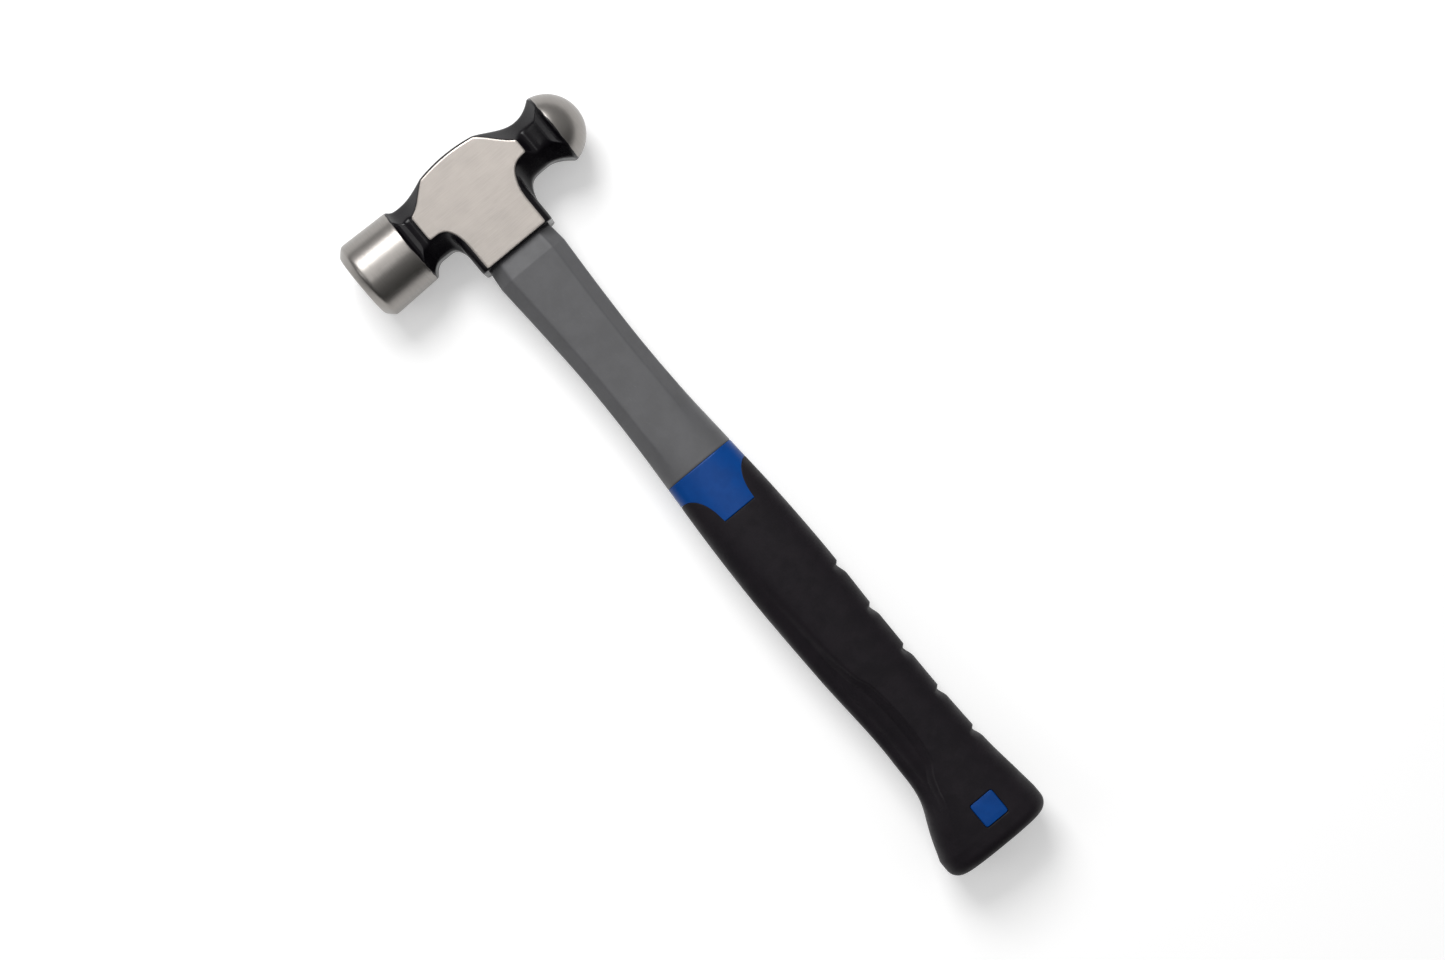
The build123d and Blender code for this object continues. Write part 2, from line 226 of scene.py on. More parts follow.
def headField(points, shape):
    # below zero inside the head: flats in eight directions meet in soft edges, then the skirt,
    # the poll and the ball join them, and the eye is taken out
    x, y, z = points.T
    depth = np.abs(z)
    radial = np.hypot(y, z)
    ends = shape["crownEnds"]
    top = shape["crown"] - shape["crownDrop"]
    half = shape["cheekHalf"]
    skirt = shape["skirtHalf"]
    corner = shape["skirtCorner"]
    inner = (corner - skirt, skirt - corner)
    upper = bodySide(x, shape, "upper", ends, top, shape["crownDrop"])
    lower = bodySide(x, shape, "lower", (-skirt, skirt), shape["skirtTop"])
    front = bodySide(x, shape, "front", shape["cheekEnds"], half + shape["cheekSpare"])
    upperSlant = bodySide(x, shape, "upperSlant", ends, shape["upperSlantSize"], shape["upperSlantCrown"])
    lowerSlant = bodySide(x, shape, "lowerSlant", inner, shape["lowerSlantSize"])
    # the body stays a little smaller than the poll and the ball where it runs into them
    back = shape["pollBackRadius"]
    envelope = np.minimum(
        np.where(x < pollBack, back - 0.7, back - 0.3 + (x - pollBack)),
        np.where(x > rimX, rimRadius - 0.3 - (x - rimX), rimRadius - 0.2 + (rimX - x)),
    )
    body = softMax([
        y - upper,
        -y - lower,
        depth - front,
        (y + depth) / math.sqrt(2) - upperSlant,
        (depth - y) / math.sqrt(2) - lowerSlant,
        radial - envelope,
        pollBack - 4.0 - x,
        x - rimX - 2.0,
    ], shape["edgeBlend"])

    # skirt: a column with round upright edges
    overX = np.abs(x) - (skirt - corner)
    overZ = depth - (half - corner)
    outside = np.hypot(np.maximum(overX, 0), np.maximum(overZ, 0))
    column = outside + np.minimum(np.maximum(overX, overZ), 0) - corner
    skirtField = softMax([column, -y - shape["skirtDrop"], y], shape["skirtBlend"])

    # poll: a slow taper with a bevelled face and a soft back edge
    alongPoll = (x - shape["faceX"] - shape["faceBevel"]) / (shape["pollLength"] - shape["faceBevel"])
    taper = shape["faceRadius"] + (back - shape["faceRadius"]) * np.clip(alongPoll, 0, 1)
    bevel = (radial - (shape["faceRadius"] - shape["faceBevel"]) - (x - shape["faceX"])) / math.sqrt(2)
    poll = softMax([radial - taper, bevel, shape["faceX"] - x, x - pollBack], shape["pollBlend"])

    # ball: a sphere cut off square at its rim
    ball = np.sqrt((x - shape["tipX"] + shape["ballRadius"]) ** 2 + radial**2) - shape["ballRadius"]
    ball = softMax([ball, rimX - x], shape["crispBlend"])

    whole = softMin([body, skirtField], shape["jointBlend"])
    whole = np.maximum(whole, depth - half)
    whole = softMin([whole, poll], shape["rimBlend"])
    whole = softMin([whole, ball], shape["rimBlend"])

    # eye: a slot right through, from the skirt to the crown
    straight = (shape["eyeLength"] - shape["eyeWidth"]) / 2
    slot = np.hypot(np.maximum(np.abs(x) - straight, 0), z) - shape["eyeWidth"] / 2
    return softMax([whole, -slot], shape["crispBlend"])


def makeHead():
    # even squares over the forging, then every point slides along the field's slope to where it is zero
    shape = headShape
    rough = nodes["head"].data.copy()
    fixNormals(rough)
    head = linkMesh("headForging", rough)
    squares = head.modifiers.new("squares", "REMESH")
    squares.mode = "VOXEL"
    squares.voxel_size = shape["cell"] / 1000
    applyModifiers(head)
    count = len(head.data.vertices)
    flat = np.empty(count * 3)
    head.data.vertices.foreach_get("co", flat)
    centre = np.array([axisX, headY, axisZ])
    points = (flat.reshape(-1, 3) - centre) * 1000
    step = 0.01                 # over which the slope is taken
    farthest = 0.35             # the most that a point slides in one round
    for _ in range(12):
        value = headField(points, shape)
        slope = np.stack([
            (headField(points + step * axis, shape) - value) / step for axis in np.eye(3)
        ], axis=1)
        steepness = np.maximum((slope**2).sum(axis=1), 0.2)
        move = -(value / steepness)[:, None] * slope
        length = np.linalg.norm(move, axis=1, keepdims=True)
        points += move * np.minimum(1.0, farthest / np.maximum(length, 1e-9))
    print("head: largest distance left", round(float(np.abs(headField(points, shape)).max()), 4), "mm")
    head.data.vertices.foreach_set("co", (points / 1000 + centre).ravel())
    head.data.update()
    head.data.shade_smooth()
    return head


head = makeHead()
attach(head, "root")
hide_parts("head")
print("head made:", len(head.data.polygons), "faces")


# every row: drop below the head's axis, half width to the poll's side, half width to the
# ball's side, half thickness and size of the slanting facets, in millimetres
handleShape = {
    "outline": np.array([
        (27.2, 14.5, 14.5, 8.9, 4.9),
        (35.5, 15.3, 15.3, 10.0, 5.2),
        (58.2, 14.15, 14.15, 9.7, 5.0),
        (83.8, 13.3, 13.4, 9.5, 4.9),
        (110.4, 13.7, 13.9, 9.9, 5.1),
        (134.0, 15.0, 15.3, 11.0, 5.8),
        (158.0, 16.4, 16.7, 12.2, 6.4),
        (184.0, 17.2, 17.4, 12.8, 6.8),
        (226.0, 16.7, 16.8, 12.9, 6.8),
        (268.0, 15.3, 17.1, 13.2, 6.8),
        (286.0, 16.6, 18.0, 13.8, 7.0),
        (300.0, 22.4, 19.6, 14.6, 7.2),
        (309.0, 25.6, 20.6, 15.0, 7.4),
    ]),
    "shoulderDrop": 35.5,
    "facetSharpness": 60.0,     # how crisp the jacket's facets are
    "ovalPower": 2.75,          # 2 is an ellipse, larger is squarer
    "ovalFrom": (104.0, 131.0), # facets fade into the oval over this stretch
    "ovalLean": 8.0,            # how much sooner they do on the ball's side
    "columns": 288,
}
collarTop = (headY - collarTopY) * 1000
buttEnd = (headY - buttY) * 1000


def handleRadius(angle, drop, inset):
    # distance from the centre line: eight flats, each one's distance over the cosine to it,
    # joined by a power mean, and below the waist a superellipse
    outline = handleShape["outline"]
    places = outline[:, 0]
    shoulder = handleShape["shoulderDrop"]
    top = np.clip((drop - places[0]) / (shoulder - places[0]), 0, 1)
    below = np.maximum(drop, shoulder)
    poll, ball, thick, facet = (
        np.where(
            drop < shoulder,
            outline[0, k] + (outline[1, k] - outline[0, k]) * top,
            smoothThrough(below, places[1:], outline[1:, k]),
        ) - (inset if k < 4 else 0.0)
        for k in (1, 2, 3, 4)
    )
    across = np.cos(angle)
    out = np.sin(angle)
    half = np.where(across > 0, ball, poll)
    slant = half + thick - facet
    power = handleShape["facetSharpness"]
    flats = (
        (np.abs(across) / half) ** power
        + (np.abs(out) / thick) ** power
        + ((np.abs(across) + np.abs(out)) / slant) ** power
    ) ** (-1 / power)
    power = handleShape["ovalPower"]
    oval = ((np.abs(across) / half) ** power + (np.abs(out) / thick) ** power) ** (-1 / power)
    low, high = handleShape["ovalFrom"]
    share = smoothStep(drop + handleShape["ovalLean"] * across, low, high)
    return flats + (oval - flats) * share


angles = np.linspace(0, 2 * math.pi, handleShape["columns"], endpoint=False)[None, :]


def ringRows(drops, insets, relief=None):
    # one ring on the handle for each pair of a drop and an inset; a drop may change round the ring
    drops = np.broadcast_to(drops, (drops.shape[0], angles.shape[1]))
    insets = np.broadcast_to(insets, drops.shape)
    turn = np.broadcast_to(angles, drops.shape)
    radius = handleRadius(turn, drops, insets)
    if relief is not None:
        radius = radius - relief(turn, drops, radius)
    x = axisX + radius * np.cos(turn) / 1000
    z = axisZ + radius * np.sin(turn) / 1000
    return np.stack([x, headY - drops / 1000, z], axis=-1)


rodShape = {
    "corner": 4.5,
    "clearance": 0.03,          # bores over the rod
}


def rodRings(drops):
    # rings along the rod's sides: the radius of a rectangle with round corners, by angle
    halfX = (coreHigh.x - coreLow.x) * 500 + rodShape["clearance"]
    halfZ = (coreHigh.z - coreLow.z) * 500 + rodShape["clearance"]
    corner = rodShape["corner"]
    across = np.abs(np.cos(angles))
    out = np.abs(np.sin(angles))
    straight = np.minimum(halfX / np.maximum(across, 1e-6), halfZ / np.maximum(out, 1e-6))
    # distance to the corner's circle along the same ray
    along = (halfX - corner) * across + (halfZ - corner) * out
    away = (halfX - corner) ** 2 + (halfZ - corner) ** 2 - corner**2
    rounded = along + np.sqrt(np.maximum(along**2 - away, 0))
    inCorner = (straight * across > halfX - corner) & (straight * out > halfZ - corner)
    radius = np.where(inCorner, rounded, straight) / 1000
    drops = np.broadcast_to(drops, (len(drops), angles.shape[1]))
    x = np.broadcast_to(axisX + radius * np.cos(angles), drops.shape)
    z = np.broadcast_to(axisZ + radius * np.sin(angles), drops.shape)
    return np.stack([x, headY - drops / 1000, z], axis=-1)


jacketShape = {
    "rows": 150,
    "edge": 0.25,               # rounding where it meets the collar
}


def makeJacket():
    top = headShape["skirtDrop"]
    edge = jacketShape["edge"]
    # extra rows keep the crease below the sloping shoulder sharp
    shoulder = handleShape["shoulderDrop"]
    rows = np.concatenate([
        np.linspace(top, shoulder - 0.3, 10)[:, None],
        np.linspace(shoulder - 0.1, shoulder + 0.5, 4)[:, None],
        np.linspace(shoulder + 1.0, collarTop - edge, jacketShape["rows"])[:, None],
    ])
    bore = np.linspace(collarTop, top, 30)[:, None]
    rings = [
        ringRows(rows, np.zeros_like(rows)),
        ringRows(np.array([[collarTop]]), np.array([[edge]])),
        rodRings(bore),
    ]
    return closedTube("handleJacket", np.concatenate(rings))


jacket = makeJacket()
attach(jacket, "root")
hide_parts("handle_jacket")
print("jacket made")


gripShape = {
    "collarHeight": 8.2,        # blue all round below the jacket
    "tabDrop": 14.6,            # how far the tabs reach below the collar
    "tabHalf": 7.1,             # half the width of a tab's end
    "tabShift": 1.2,            # towards the ball's side
    "tabShoulder": 9.0,         # width of the curve on each side of a tab
    "wall": 2.0,                # soft grip over the sleeve
    "edge": 0.45,               # rounding along the soft grip's upper edge
    "sleeveEdge": 0.2,          # rounding round the top of the collar
    "sleeveGap": 0.1,           # between the sleeve and the soft grip
    "buttEdge": 5.0,            # rounding round the end of the butt
    "capInset": 13.0,           # the smallest ring on the end face
    "notchHeights": [121.4 - 20.2 * n for n in range(5)],
    "notchDepth": 1.25,
    "notchLength": 5.2,
    "notchLip": 0.9,
    "notchSpread": (0.80, 0.97),    # cosines between which the notches fade in round the side
    # the hollow's edge: drop below the head's axis and place across the handle
    "scoopEdge": [
        (150, -9.0), (200, -7.0), (229, -5.4), (234, -4.6), (238, -3.0), (247, -1.5), (257, -0.95),
        (265, -1.1), (270, -1.6), (275.5, -2.8), (280.4, -5.6), (286, -7.6), (294, -9.9), (300, -15.0),
    ],
    "scoopStep": 0.8,           # depth of the step along its edge
    "scoopStepWidth": 5.5,
    "scoopNarrows": 3.6,        # how much narrower the step gets on the way down
    "scoopCrisp": (205.0, 240.0),
    "scoopSlope": 3.0,          # depth that the hollow gains beyond the step
    "scoopSlopeWidth": 11.0,
    "scoopStart": (150.0, 232.0),
    "scoopEnd": (286.0, 300.0),
    "scoopSide": (0.72, 0.97),  # cosines between which it runs out towards the side
    "rows": 270,
    "windowSide": 10.8,
    "windowHeight": 14.9,
    "windowShift": 1.8,
    "windowCut": (9.0, 20.0),   # the cutter's ends, out from the middle plane
    "windowGap": 0.18,          # round each blue square
    "windowRecess": 0.5,
    "windowRoot": 3.0,          # how deep the blue squares start in the sleeve's wall
}


def gripTop(angle):
    # upper edge of the soft grip: level with the collar at the sides, and a quarter of an
    # ellipse down to the end of the tab on each side of it, front and back
    shape = gripShape
    collarEnd = collarTop + shape["collarHeight"]
    across = handleRadius(angle, collarEnd + shape["tabDrop"] / 2, 0.0) * np.cos(angle)
    # the poll's side and the ball's side share one centred tab
    over = np.clip((np.abs(across - shape["tabShift"]) - shape["tabHalf"]) / shape["tabShoulder"], 0, 1)
    return collarEnd + shape["tabDrop"] * (1 - np.sqrt(np.clip(1 - (1 - over) ** 2, 0, 1)))


def gripRelief(angle, drop, radius):
    # finger notches on the ball's side, and the hollow for the fingers on the poll's side
    shape = gripShape
    across = radius * np.cos(angle)
    cut = np.zeros_like(radius)
    onSide = smoothStep(np.cos(angle), *shape["notchSpread"])
    for height in shape["notchHeights"]:
        past = drop - (buttEnd - height)
        steep = smoothStep(past, -shape["notchLip"], 0.0)
        slow = 1 - smoothStep(past, 0.0, shape["notchLength"])
        cut = cut + shape["notchDepth"] * steep * slow * onSide
    edge = smoothThrough(drop, *zip(*shape["scoopEdge"]))
    inside = edge - across
    width = shape["scoopStepWidth"] - shape["scoopNarrows"] * smoothStep(drop, *shape["scoopCrisp"])
    step = shape["scoopStep"] * smoothStep(inside, 0.0, width)
    slope = shape["scoopSlope"] * smoothStep(inside, 0.0, shape["scoopSlopeWidth"])
    along = smoothStep(drop, *shape["scoopStart"]) * (1 - smoothStep(drop, *shape["scoopEnd"]))
    # the hollow runs out before the side, so the outline stays as it is
    return cut + (step + slope) * along * (1 - smoothStep(-np.cos(angle), *shape["scoopSide"]))


def buttRows(inset):
    # rings that round the butt in to its end face
    radius = gripShape["buttEdge"]
    turn = np.linspace(0, math.pi / 2, 14)[1:, None]
    drops = buttEnd - inset - radius * (1 - np.sin(turn))
    return drops, inset + radius * (1 - np.cos(turn))


def capRows(inset, steps):
    # shrinking rings across the flat end face
    insets = np.linspace(inset + gripShape["buttEdge"], gripShape["capInset"], steps)[1:, None]
    return np.full_like(insets, buttEnd - inset), insets


def makeOvermould():
    shape = gripShape
    top = gripTop(angles)
    wall = shape["wall"]
    edge = shape["edge"]
    end = buttEnd - shape["buttEdge"]
    share = np.linspace(0, 1, shape["rows"])[:, None]
    outerDrops = top + edge + (end - top - edge) * share
    turn = np.linspace(math.pi / 2, 0, 6)[:-1, None]
    lipDrops = top + edge * (1 - np.sin(turn))
    lipInsets = edge * (1 - np.cos(turn))
    innerShare = np.linspace(1, 0, 24)[:, None]
    innerEnd = buttEnd - wall - shape["buttEdge"]
    innerDrops = top + (innerEnd - top) * innerShare
    buttIn, buttInInsets = buttRows(wall)
    buttOut, buttOutInsets = buttRows(0.0)
    capDrops, capInsets = capRows(0.0, 8)
    capInDrops, capInInsets = capRows(wall, 6)
    rings = [
        ringRows(capInDrops[::-1], capInInsets[::-1]),
        ringRows(buttIn[::-1], buttInInsets[::-1]),
        ringRows(innerDrops, np.full_like(innerDrops, wall)),
        ringRows(lipDrops, lipInsets),
        ringRows(outerDrops, np.zeros_like(outerDrops), gripRelief),
        ringRows(buttOut, buttOutInsets),
        ringRows(capDrops, capInsets),
    ]
    return closedRings("gripOvermould", np.concatenate(rings))


def makeSleeve():
    shape = gripShape
    top = gripTop(angles)
    inset = shape["wall"] + shape["sleeveGap"]
    edge = shape["sleeveEdge"]
    shownShare = np.linspace(0, 1, 50)[:, None]
    shown = collarTop + edge + (top - shape["sleeveGap"] / 2 - collarTop - edge) * shownShare
    innerShare = np.linspace(0, 1, 40)[:, None]
    innerEnd = buttEnd - inset - shape["buttEdge"]
    inner = top + (innerEnd - top) * innerShare
    buttIn, buttInInsets = buttRows(inset)
    capDrops, capInsets = capRows(inset, 6)
    bore = np.linspace((headY - coreLow.y) * 1000, collarTop, 50)[:, None]
    rings = [
        rodRings(bore),
        ringRows(np.array([[collarTop]]), np.array([[edge]])),
        ringRows(shown, np.zeros_like(shown)),
        ringRows(inner, np.full_like(inner, inset)),
        ringRows(buttIn, buttInInsets),
        ringRows(capDrops, capInsets),
    ]
    return closedRings("gripSleeve", np.concatenate(rings))


def squareTower(name, half, lowZ, highZ, edge):
    # a square with round corners carried up along z, its upper edge rounded, closed at both ends:
    # its radius by angle is a superellipse's, of a power high enough to read as a square
    turn = np.linspace(0, 2 * math.pi, 96, endpoint=False)
    power = 14.0
    unit = (np.abs(np.cos(turn)) ** power + np.abs(np.sin(turn)) ** power) ** (-1 / power)
    rise = np.linspace(0, math.pi / 2, 6)
    scales = np.concatenate([[1.0, 1.0], 1 - edge / half * (1 - np.cos(rise)), [0.5]])
    heights = np.concatenate([[lowZ, highZ - edge], highZ - edge * (1 - np.sin(rise)), [highZ]])
    reach = half * unit * scales[:, None] / 1000
    x = axisX + gripShape["windowShift"] / 1000 + reach * np.cos(turn)
    y = buttY + gripShape["windowHeight"] / 1000 + reach * np.sin(turn)
    z = np.broadcast_to(heights[:, None] / 1000, x.shape)
    return closedRings(name, np.stack([x, y, z], axis=-1))


def cutWindows(piece):
    # square openings through the soft grip, front and back
    middle = axisZ * 1000
    half = gripShape["windowSide"] / 2
    near, far = gripShape["windowCut"]
    for low, high in ((middle + near, middle + far), (middle - far, middle - near)):
        cutter = squareTower("windowCutter", half, low, high, 0.1)
        cut = piece.modifiers.new("window", "BOOLEAN")
        cut.operation = "DIFFERENCE"
        cut.solver = "EXACT"
        cut.object = cutter
        applyModifiers(piece)
        bpy.data.objects.remove(cutter)


def addWindowBlocks(piece):
    # the blue squares that show in the openings, part of the sleeve
    drop = buttEnd - gripShape["windowHeight"]
    thick = float(handleRadius(np.array([math.pi / 2]), np.array([drop]), 0.0)[0])
    reach = thick - gripShape["windowRecess"]
    half = gripShape["windowSide"] / 2 - gripShape["windowGap"]
    root = thick - gripShape["wall"] - gripShape["windowRoot"]
    front = squareTower("windowFront", half, axisZ * 1000 + root, axisZ * 1000 + reach, 0.3)
    backMesh = front.data.copy()
    back = linkMesh("windowBack", backMesh)
    flip = np.empty(len(backMesh.vertices) * 3)
    backMesh.vertices.foreach_get("co", flip)
    flip = flip.reshape(-1, 3)
    flip[:, 2] = 2 * axisZ - flip[:, 2]
    backMesh.vertices.foreach_set("co", flip.ravel())
    fixNormals(backMesh)
    with bpy.context.temp_override(active_object=piece, selected_editable_objects=[piece, front, back]):
        bpy.ops.object.join()


overmould = makeOvermould()
cutWindows(overmould)
sleeve = makeSleeve()
addWindowBlocks(sleeve)
for piece, node, slot in (
    (overmould, "grip_overmould", "grip_rubber"),
    (sleeve, "grip_sleeve", "sleeve_plastic"),
):
    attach(piece, "root")
    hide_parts(node)
print("grip made:", len(overmould.data.polygons), "faces")


def newMaterial(name, metallic, roughness, shine=0.5, coat=0.0):
    # a material with its shader, whose plain values stand on the shader's own sockets
    material = bpy.data.materials.new(name)
    material.use_nodes = True
    tree = material.node_tree
    shader = tree.nodes["Principled BSDF"]
    shader.inputs["Metallic"].default_value = metallic
    shader.inputs["Roughness"].default_value = roughness
    shader.inputs["Specular IOR Level"].default_value = shine
    shader.inputs["Coat Weight"].default_value = coat
    return material, tree, shader


def addNode(tree, kind, inputs=None, **settings):
    # inputs gives each socket a value or another node's output
    node = tree.nodes.new(kind)
    for setting, value in settings.items():
        setattr(node, setting, value)
    for socket, value in (inputs or {}).items():
        if isinstance(value, bpy.types.NodeSocket):
            tree.links.new(value, node.inputs[socket])
        else:
            node.inputs[socket].default_value = value
    return node


def calculate(tree, operation, first, second=0.0, third=0.0):
    inputs = {0: first, 1: second, 2: third}
    return addNode(tree, "ShaderNodeMath", inputs, operation=operation).outputs[0]


def between(tree, value, low, high, outLow=0.0, outHigh=1.0):
    # smooth change from outLow to outHigh while the value goes from low to high
    inputs = {"Value": value, "From Min": low, "From Max": high, "To Min": outLow, "To Max": outHigh}
    return addNode(tree, "ShaderNodeMapRange", inputs, interpolation_type="SMOOTHSTEP").outputs[0]


def blendColour(tree, share, first, second):
    inputs = {"Factor": share, 6: first, 7: second}
    return addNode(tree, "ShaderNodeMix", inputs, data_type="RGBA").outputs[2]


def blendValue(tree, share, first, second):
    inputs = {0: share, 2: first, 3: second}
    return addNode(tree, "ShaderNodeMix", inputs, data_type="FLOAT").outputs[0]


def noise(tree, place, scale, detail, roughness=0.5, warp=0.0):
    inputs = {"Vector": place, "Scale": scale, "Detail": detail, "Roughness": roughness, "Distortion": warp}
    return addNode(tree, "ShaderNodeTexNoise", inputs).outputs["Fac"]


def stretched(tree, place, scale, turn=0.0):
    # coordinates drawn out along the directions with a small scale, turned in degrees about z
    inputs = {"Vector": place, "Rotation": (0, 0, math.radians(turn)), "Scale": scale}
    return addNode(tree, "ShaderNodeMapping", inputs).outputs[0]


def millimetres(tree, centre=(0, 0, 0)):
    # the piece's own coordinates, in millimetres from a centre given in metres
    spot = addNode(tree, "ShaderNodeTexCoord").outputs["Object"]
    shift = tuple(-1000 * value for value in centre)
    inputs = {"Vector": spot, "Location": shift, "Scale": (1000, 1000, 1000)}
    return addNode(tree, "ShaderNodeMapping", inputs).outputs[0]


def newGroup(name, inputs, outputs):
    # inputs and outputs are rows of a name, a kind and, for inputs, a starting value
    group = bpy.data.node_groups.new(name, "ShaderNodeTree")
    for label, kind, value in inputs:
        socket = group.interface.new_socket(label, in_out="INPUT", socket_type=kind)
        if value is not None:
            socket.default_value = value
    for label, kind in outputs:
        group.interface.new_socket(label, in_out="OUTPUT", socket_type=kind)
    return group, group.nodes.new("NodeGroupInput").outputs, group.nodes.new("NodeGroupOutput").inputs


def grainGroup():
    # the fine tooth a mould leaves on plastic, with slow waves from shrinkage under it
    inputs = [
        ("Place", "NodeSocketVector", None),
        ("Grains per mm", "NodeSocketFloat", 2.0),
        ("Waves", "NodeSocketFloat", 0.5),
    ]
    outputs = [("Height", "NodeSocketFloat"), ("Shade", "NodeSocketFloat")]
    group, given, result = newGroup("mouldGrain", inputs, outputs)
    place = given["Place"]
    fine = noise(group, place, given["Grains per mm"], 4.0, 0.6)
    waves = calculate(group, "MULTIPLY", noise(group, place, 0.06, 2.0), given["Waves"])
    group.links.new(calculate(group, "ADD", fine, waves), result["Height"])
    group.links.new(noise(group, place, 0.11, 5.0, 0.65), result["Shade"])
    return group


def scratchGroup():
    # sparse hairline marks: thin bands of a warped, stretched noise, broken up by a second one
    inputs = [
        ("Place", "NodeSocketVector", None),
        ("Stretch", "NodeSocketVector", (0.05, 1.2, 1.2)),
        ("Amount", "NodeSocketFloat", 0.5),
    ]
    group, given, result = newGroup("hairMarks", inputs, [("Mask", "NodeSocketFloat")])
    factors = {0: given["Place"], 1: given["Stretch"]}
    placed = addNode(group, "ShaderNodeVectorMath", factors, operation="MULTIPLY").outputs[0]
    lines = noise(group, placed, 1.0, 3.0, warp=0.4)
    centred = calculate(group, "ABSOLUTE", calculate(group, "SUBTRACT", lines, 0.5))
    thin = between(group, centred, 0.004, 0.0)
    patches = between(group, noise(group, given["Place"], 0.16, 2.0), 0.52, 0.62)
    shown = calculate(group, "MULTIPLY", thin, patches)
    group.links.new(calculate(group, "MULTIPLY", shown, given["Amount"]), result["Mask"])
    return group


mouldGrain = grainGroup()
hairMarks = scratchGroup()


def useGroup(tree, group, inputs):
    return addNode(tree, "ShaderNodeGroup", inputs, node_tree=group).outputs


def bumpInto(tree, shader, height, strength, distance):
    bump = addNode(tree, "ShaderNodeBump", {"Strength": strength, "Distance": distance, "Height": height})
    tree.links.new(bump.outputs["Normal"], shader.inputs["Normal"])


def dress(piece, material):
    # one finish over the whole piece, in every slot that it has
    slots = piece.data.materials
    for i in range(len(slots)):
        slots[i] = material
    if len(slots) == 0:
        slots.append(material)


headFinish = {
    "cheekSteel": (0.36, 0.330, 0.305, 1),      # ground flat and polished
    "turnedSteel": (0.30, 0.283, 0.267, 1),     # poll and ball
    "steelDull": (0.20, 0.190, 0.180, 1),
    "enamel": (0.0035, 0.0028, 0.0042, 1),      # glossy black, on everything left as forged
    "steelRoughness": (0.28, 0.38),
    "enamelRoughness": (0.16, 0.30),
    "boundaryWave": 0.9,                        # mm, how far the enamel's edge wanders
    "cheekSpan": (-27.0, 27.2),                 # mm along the head, where a flat counts as cheek
}


def makeHeadFinish():
    # bare steel where the head was ground: on the flat cheeks, the poll and the ball
    finish = headFinish
    material, tree, shader = newMaterial("headFinish", 1.0, 0.3, 0.22)
    place = millimetres(tree, (axisX, headY, axisZ))
    parts = addNode(tree, "ShaderNodeSeparateXYZ", {0: place}).outputs
    wave = finish["boundaryWave"]
    shift = calculate(tree, "MULTIPLY_ADD", noise(tree, place, 0.17, 3.0), 2 * wave, -wave)
    along = calculate(tree, "ADD", parts[0], shift)
    onPoll = between(tree, along, pollBack - 0.25, pollBack - 0.45)
    onBall = between(tree, along, rimX + 0.7, rimX + 0.9)
    depth = calculate(tree, "ABSOLUTE", parts[2])
    half = headShape["cheekHalf"]
    start, end = finish["cheekSpan"]
    afterStart = between(tree, along, start - 0.2, start + 0.2)
    beforeEnd = between(tree, along, end + 0.2, end - 0.2)
    ownSpan = calculate(tree, "MULTIPLY", afterStart, beforeEnd)
    onCheek = calculate(tree, "MULTIPLY", between(tree, depth, half - 0.13, half - 0.06), ownSpan)
    bare = calculate(tree, "MAXIMUM", calculate(tree, "MAXIMUM", onPoll, onBall), onCheek)

    # grinding marks: round the axis on the poll and the ball, slanting on the cheeks
    turnedLines = noise(tree, stretched(tree, place, (7.0, 0.12, 0.12)), 1.0, 4.0)
    groundLines = noise(tree, stretched(tree, place, (0.12, 7.0, 1.0), 24), 1.0, 4.0)
    lines = blendValue(tree, onCheek, turnedLines, groundLines)
    blotch = noise(tree, place, 0.12, 4.0)
    marks = useGroup(tree, hairMarks, {"Place": place, "Stretch": (0.07, 0.9, 0.9), "Amount": 0.18})["Mask"]

    tone = calculate(tree, "MULTIPLY_ADD", lines, 0.6, calculate(tree, "MULTIPLY", blotch, 0.4))
    dull = between(tree, tone, 0.35, 0.7, 0.0, 0.3)
    steel = blendColour(tree, onCheek, finish["turnedSteel"], finish["cheekSteel"])
    steel = blendColour(tree, dull, steel, finish["steelDull"])
    steel = blendColour(tree, marks, steel, finish["steelDull"])
    tree.links.new(blendColour(tree, bare, finish["enamel"], steel), shader.inputs["Base Color"])
    tree.links.new(bare, shader.inputs["Metallic"])
    steelRough = between(tree, lines, 0.3, 0.7, *finish["steelRoughness"])
    enamelRough = between(tree, blotch, 0.35, 0.65, *finish["enamelRoughness"])
    tree.links.new(blendValue(tree, bare, enamelRough, steelRough), shader.inputs["Roughness"])

    # the enamel flows a little and stands proud of the bare steel
    coating = calculate(tree, "MULTIPLY_ADD", noise(tree, place, 0.45, 2.0), 0.35, 0.6)
    steelHeight = calculate(tree, "MULTIPLY", lines, 0.10)
    bumpInto(tree, shader, blendValue(tree, bare, coating, steelHeight), 0.35, 0.0001)
    return material


plasticFinish = {
    # the two colours that each one drifts between
    "jacket": ((0.103, 0.103, 0.108, 1), (0.094, 0.094, 0.098, 1)),
    "sleeve": ((0.0, 0.052, 0.250, 1), (0.0, 0.044, 0.215, 1)),
    "rubber": ((0.0100, 0.0076, 0.0104, 1), (0.0066, 0.0050, 0.0072, 1)),
    "gasket": ((0.02, 0.02, 0.02, 1), (0.012, 0.012, 0.012, 1)),
    # colour of the paler patches along the soft grip's edge on the ball's side
    "rubberPale": (0.045, 0.042, 0.045, 1),
}


